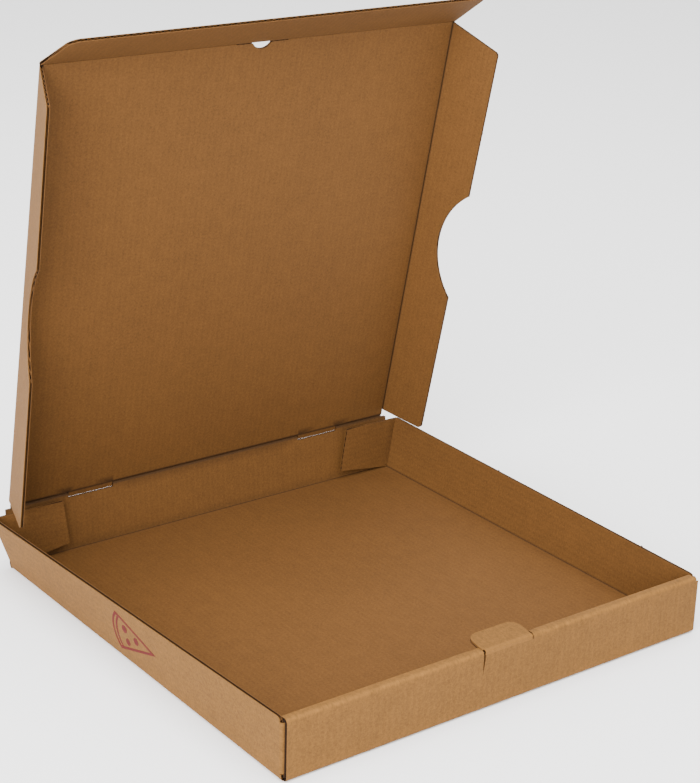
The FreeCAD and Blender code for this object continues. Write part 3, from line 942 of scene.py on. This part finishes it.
tab_loop = [(TAB_MID - TAB_HALF, ROOT_HIGH), (TAB_MID + TAB_HALF, ROOT_HIGH)]
tab_loop += arc((TAB_MID + TAB_HALF - TAB_TIP, TAB_LEN - TAB_TIP), TAB_TIP, 0, 90)
tab_loop += arc((TAB_MID - TAB_HALF + TAB_TIP, TAB_LEN - TAB_TIP), TAB_TIP, 90, 180)
tab = Sheet()
board(tab, tab_place, [tab_loop], grid(TAB_MID - TAB_HALF, TAB_MID + TAB_HALF, 3), grid(0, TAB_LEN, 2),
      creases=[(1, 0, TAB_MARK)], cores=[(ROOT_HIGH, TAB_LEN)])
tab_piece = tab.build("tab_board", "tab")
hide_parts("lock_tab")


# Folds that move. The hinge, the front flap's fold and the tab's fold are strips of liner, bent as
# they lie now between two bodies and tied to neither. Each side flap's fold is two shells, one on the
# lid and one on the flap. Along a fold's turn, 0 lies on the lid and 1 on the flap.

LAP = 0.06              # how far the front fold's strip goes on past its ends, as a share of the turn
STRIP_OVER = 1.1        # and past the lid's sides
LID_SHELL = (-0.04, 0.78)
FLAP_SHELL = (0.25, 1.04)
PRESSED = (0, 0.7)      # the pressed core under the lid's shell
PRESSED_IN, PRESSED_OUT = 0.62, 0.8           # its depths
# painted shade on the pressed core inside a fold
PRESSED_SHADE = 0.5
SHELL_GAP = 0.01        # half the air between the two shells
FOLD_STOP = 0.1         # where the shells end, from the lid's top
SKIN_MID = BOARD - LINER / 2


def rectangle(sheet, place, cs, fs, h0, h1, kind0, kind1, shading_and_rub):
    loop = [(cs[0], fs[0]), (cs[-1], fs[0]), (cs[-1], fs[-1]), (cs[0], fs[-1])]
    flat, tris = triangles([loop], cs, fs)
    sheet.slab(place, flat, tris, h0, h1, kind0, kind1, lambda c, f: shading_and_rub)


def side_fold(side, name):
    """The outside liner round a side flap's fold, in two shells of half its thickness. One rides on
    the lid and the other on the flap, and they slide on each other as the flap turns. h is the
    distance from the crease."""
    def place(c, f, h):
        a = fold_at(side, f) * c
        return lid_point(side * (LID_HALF + h * sin(a)), f, BOARD / 2 - h * cos(a))
    fs = grid(REAR_CUT, LID_LEN - FOLD_STOP, 10)
    over = Sheet()
    rectangle(over, place, steps(*LID_SHELL, 10), fs, SKIN_MID + SHELL_GAP, BOARD, SHADE_PAPER, OUTSIDE, PALE)
    rectangle(over, place, steps(*PRESSED, 5), fs, PRESSED_IN, PRESSED_OUT, SHADE_PAPER, SHADE_PAPER, PRESSED_SHADE)
    over.build("fold_" + name, "lid")
    under = Sheet()
    cs = steps(*FLAP_SHELL, 10)
    rectangle(under, place, cs, fs, BOARD - LINER, SKIN_MID - SHELL_GAP, SHADE_PAPER, OUTSIDE, PALE)
    under.build("fold_" + name + "_flap", name + "_flap")


side_fold(1, "right")
side_fold(-1, "left")


def front_fold_place(c, f, h):
    a = front_fold_at(c) * f
    return lid_point(c, LID_LEN + h * sin(a), BOARD / 2 - h * cos(a))


front_strip = Sheet()
for side in (-1, 1):
    cs = grid(*sorted((side * SLOT_HALF, side * (LID_HALF + STRIP_OVER))), 10)
    rectangle(front_strip, front_fold_place, cs, steps(-LAP, 1 + LAP, 10), BOARD - LINER, BOARD,
              SHADE_PAPER, OUTSIDE, PALE)
    rectangle(front_strip, front_fold_place, cs, steps(0, 1, 6), PRESSED_IN, PRESSED_OUT,
              SHADE_PAPER, SHADE_PAPER, PRESSED_SHADE)
strip = front_strip.build("fold_front")
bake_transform(strip)


REACH_STEPS = 8
INNER_SKIN = 0.1        # thickness of the inside liner where it is creased
# painted shade along the inside liner's crease
INNER_SHADE = 0.8
INNER_DEPTH = 0.12      # how near the inside liner comes to the turning line
BLEND_FROM = 0.45       # where the two unused end points of the bend are worked out, from the turning line


def crease_strip(name, pivot, way_a, out_a, way_b, out_b, ranges, reach_a, reach_b, arc_steps,
                 blend_out):
    """Liners over a crease whose turning line lies in the middle of the board. Ways and outward
    directions are (y, z). The outside liner goes round the line and the inside one dips to it.
    Two points blend_out from the middle of the board, at the bend's ends, are worked out and not used."""
    rows = [(t, way_a, out_a) for t in steps(-reach_a, 0, REACH_STEPS)]
    turn = math.degrees(math.atan2(out_b[1], out_b[0]) - math.atan2(out_a[1], out_a[0]))
    turn = (turn + 180) % 360 - 180
    start = math.degrees(math.atan2(out_a[1], out_a[0]))
    for i in range(1, arc_steps):
        a = start + turn * i / arc_steps
        rows.append((0.0, way_a, (cos(a), sin(a))))
    rows += [(t, way_b, out_b) for t in steps(0, reach_b, REACH_STEPS)]

    def at(c):
        i = min(int(c), len(rows) - 2)
        return rows[i], rows[i + 1], c - i

    def spot(row, d):
        t, way, out = row
        return Vector((0, pivot[0] + way[0] * t + out[0] * d, pivot[1] + way[1] * t + out[1] * d))

    def outer(c, f, h):
        p, q, k = at(f)
        v = spot(p, h).lerp(spot(q, h), k)
        v.x = c
        return v

    def dip(row, h):
        reach = reach_a if row[1] is way_a else reach_b
        g = INNER_DEPTH + (BOARD / 2 - INNER_DEPTH) * min(1.0, abs(row[0]) / reach)
        return spot(row, -g + h)

    def inner(c, f, h):
        p, q, k = at(f)
        v = dip(p, h).lerp(dip(q, h), k)
        v.x = c
        return v

    sheet = Sheet()
    fs = [float(i) for i in range(len(rows))]
    for lo, hi in ranges:
        rectangle(sheet, outer, grid(lo, hi, 10), fs, BOARD / 2 - LINER, BOARD / 2, SHADE_PAPER, OUTSIDE, PALE)
        rectangle(sheet, inner, grid(lo, hi, 10), fs, 0.0, INNER_SKIN, INSIDE, SHADE_PAPER, INNER_SHADE)
    obj = sheet.build(name)
    a = spot((-BLEND_FROM, way_a, out_a), blend_out)
    b = spot((BLEND_FROM, way_b, out_b), blend_out)
    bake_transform(obj)


crease_strip("fold_hinge", (PIVOT.y, PIVOT.z), (sin(REAR_LEAN), cos(REAR_LEAN)),
             (cos(REAR_LEAN), -sin(REAR_LEAN)), (-SIN_L, COS_L), (COS_L, SIN_L),
             [(-LID_HALF, -TONGUE_OUT), (-TONGUE_IN, TONGUE_IN), (TONGUE_OUT, LID_HALF)],
             ROOT_LOW, ROOT_HIGH, arc_steps=3, blend_out=0)
FOLD_IN = 0.9           # the tab's fold starts this far from its left side, beside the slit
crease_strip("fold_tab", (TAB_Y, TAB_Z), (0.0, 1.0), (-1.0, 0.0), (cos(TAB_RISE), sin(TAB_RISE)),
             (-sin(TAB_RISE), cos(TAB_RISE)), [(TAB_MID - TAB_HALF + FOLD_IN, TAB_MID + TAB_HALF)],
             TAB_Z - CUT_FOOT, ROOT_HIGH, arc_steps=8, blend_out=BOARD / 2)


# Floor, light and camera

STAGE_HALF = 6.0        # in metres, like all places from here on
STAGE_Z = -0.0002       # just under the box
STAGE_GREY = 0.92
WORLD_STRENGTH = 1.75


def stage_material():
    mat = bpy.data.materials.new("stage_white")
    mat.use_nodes = True
    shader = mat.node_tree.nodes["Principled BSDF"]
    shader.inputs["Base Color"].default_value = (STAGE_GREY, STAGE_GREY, STAGE_GREY, 1)
    shader.inputs["Roughness"].default_value = 0.9
    return mat


floor_mesh = bpy.data.meshes.new("stage_floor")
floor_corners = [(x * STAGE_HALF, y * STAGE_HALF, STAGE_Z) for x, y in ((-1, -1), (1, -1), (1, 1), (-1, 1))]
floor_mesh.from_pydata(floor_corners, [], [(0, 1, 2, 3)])
floor_mesh.materials.append(stage_material())
floor = bpy.data.objects.new("stage_floor", floor_mesh)
bpy.context.scene.collection.objects.link(floor)

world = bpy.data.worlds.new("studio")
bpy.context.scene.world = world
world.use_nodes = True
world.node_tree.nodes["Background"].inputs["Color"].default_value = (1, 1, 1, 1)
world.node_tree.nodes["Background"].inputs["Strength"].default_value = WORLD_STRENGTH


def lamp(name, place, aim, size, power):
    data = bpy.data.lights.new(name, "AREA")
    data.shape = "SQUARE"
    data.size = size
    data.energy = power
    obj = bpy.data.objects.new(name, data)
    obj.location = place
    obj.rotation_mode = "QUATERNION"
    obj.rotation_quaternion = (Vector(aim) - Vector(place)).to_track_quat("-Z", "Y")
    bpy.context.scene.collection.objects.link(obj)


lamp("key", place=(-1.65, -1.05, 0.95), aim=(0, 0, 0.1), size=1.5, power=105)
lamp("top", place=(0.0, -0.3, 1.9), aim=(0, 0, 0), size=1.6, power=55)

# Camera, from the photograph's perspective. The angles are degrees.
CAMERA_AT = Vector((-0.520322, -0.69082, 0.438092))
AZIMUTH = -37.355
ELEVATION = 21.046
ROLL = 1.716
FOCAL = 1925.836        # focal length in pixels of the 700 by 783 picture
AXIS_X = 360.0          # where the optical axis meets the picture
AXIS_Y = 402.85
SENSOR = 36.0
WIDE, HIGH = 700, 783
camera_data = bpy.data.cameras.new("camera")
camera_data.sensor_width = SENSOR
camera_data.lens = FOCAL / HIGH * SENSOR
camera_data.shift_x = (WIDE / 2 - AXIS_X) / HIGH
camera_data.shift_y = (AXIS_Y - HIGH / 2) / HIGH
camera_data.clip_start = 0.01
camera_data.clip_end = 50
camera = bpy.data.objects.new("camera", camera_data)
bpy.context.scene.collection.objects.link(camera)
back = Vector((sin(AZIMUTH) * cos(ELEVATION), -cos(AZIMUTH) * cos(ELEVATION), sin(ELEVATION)))
level = Vector((cos(AZIMUTH), sin(AZIMUTH), 0))
upright = back.cross(level)
right_way = cos(ROLL) * level + sin(ROLL) * upright
up_way = -sin(ROLL) * level + cos(ROLL) * upright
turned = Matrix((right_way, up_way, back)).transposed().to_4x4()
camera.matrix_world = Matrix.Translation(CAMERA_AT) @ turned
bpy.context.scene.camera = camera
